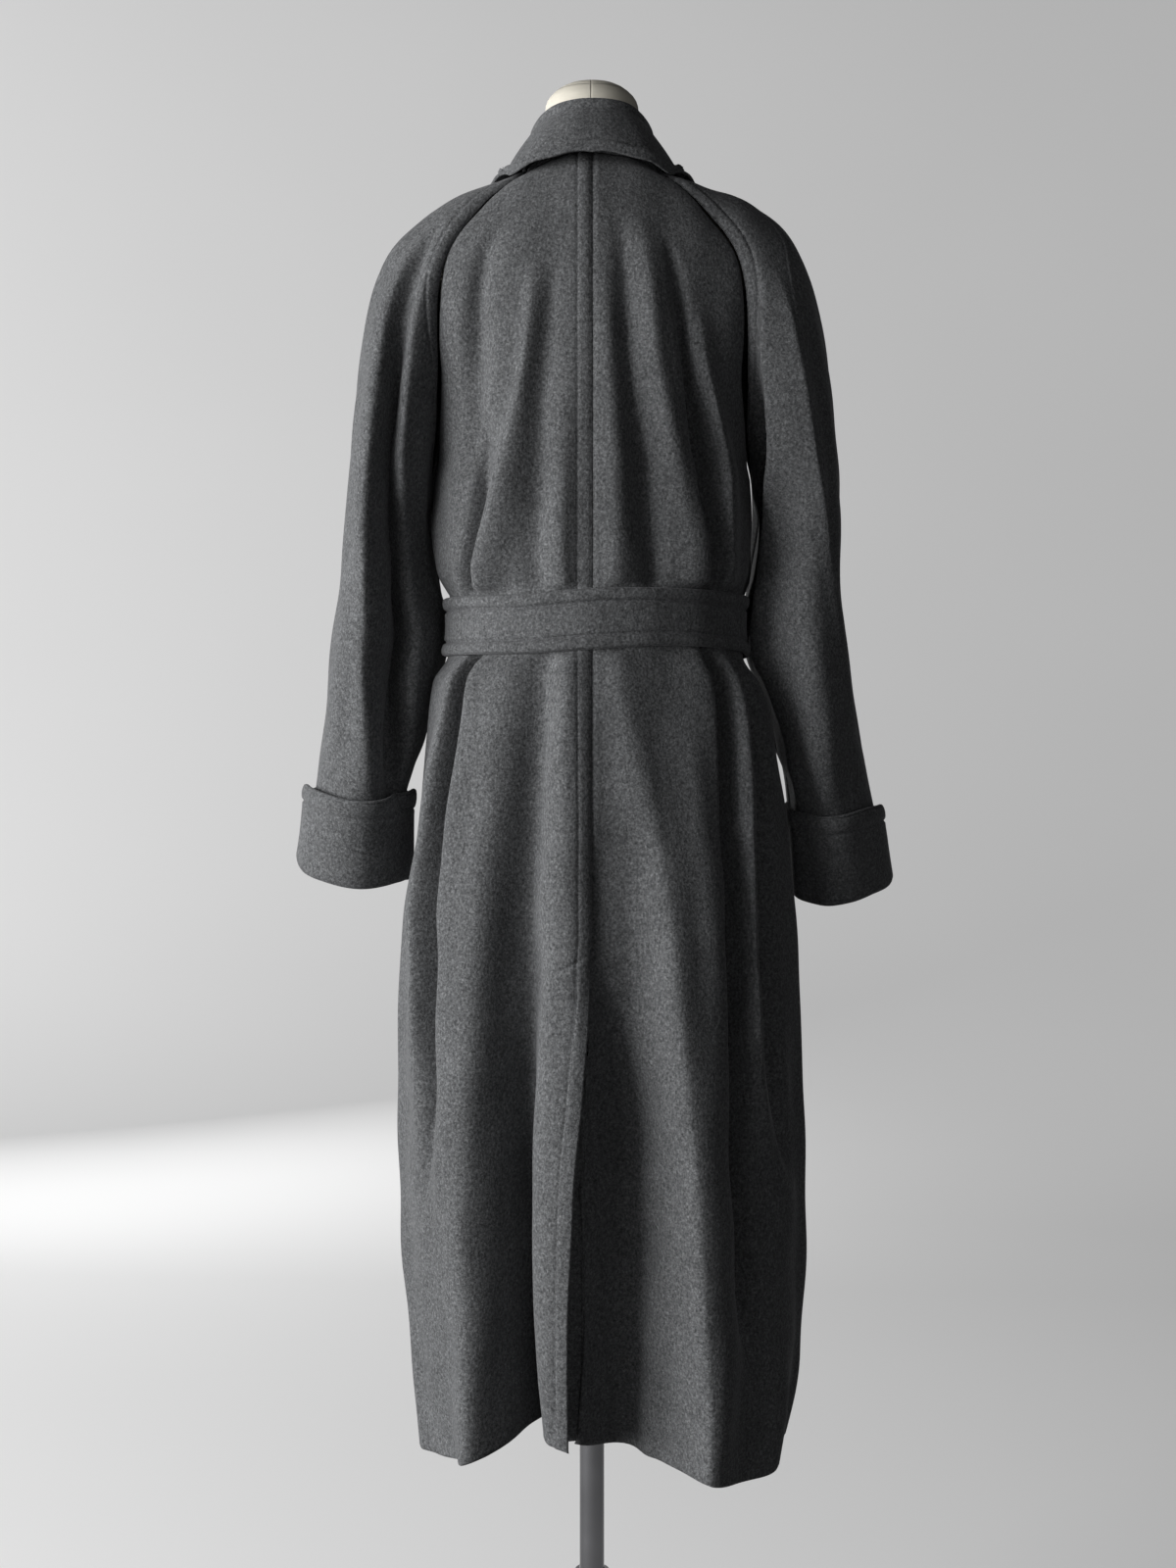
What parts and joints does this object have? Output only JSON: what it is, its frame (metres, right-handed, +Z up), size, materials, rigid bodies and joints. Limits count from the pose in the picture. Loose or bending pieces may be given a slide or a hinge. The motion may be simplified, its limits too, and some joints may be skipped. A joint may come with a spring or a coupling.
{
  "type": "double-breasted coat on a dress form",
  "caption": "Long double-breasted wool coat with raglan sleeves, a tied belt, turned-back cuffs and a back vent, on a limbless dress form with a pole stand.",
  "frame": {"origin": "middle of the stand's underside, on the floor", "axes": "+Z up; the coat's front faces -Y and its wearer's left is +X"},
  "size_m": [0.5684, 0.38, 1.635],
  "materials": {
    "wool": "milled heather wool coating, matt and slightly fuzzy",
    "button": "polished dark horn look",
    "canvas": "plain cotton canvas cover, matt",
    "steel": "polished plated steel"
  },
  "bodies": {
    "root": {"back_left": "wool", "back_right": "wool", "belt": "wool", "belt_end_left": "wool", "belt_end_right": "wool", "belt_knot": "wool", "button_left_1": "button", "button_left_2": "button", "button_left_3": "button", "button_right_1": "button", "button_right_2": "button", "button_right_3": "button", "collar": "wool", "cuff_left": "wool", "cuff_right": "wool", "form_cap": "canvas", "form_torso": "canvas", "front_left": "wool", "front_right": "wool", "lapel_left": "wool", "lapel_right": "wool", "sleeve_left_back": "wool", "sleeve_left_front": "wool", "sleeve_right_back": "wool", "sleeve_right_front": "wool", "stand_base": "steel", "stand_pole": "steel", "stand_tube": "steel"}
  },
  "joints": []
}
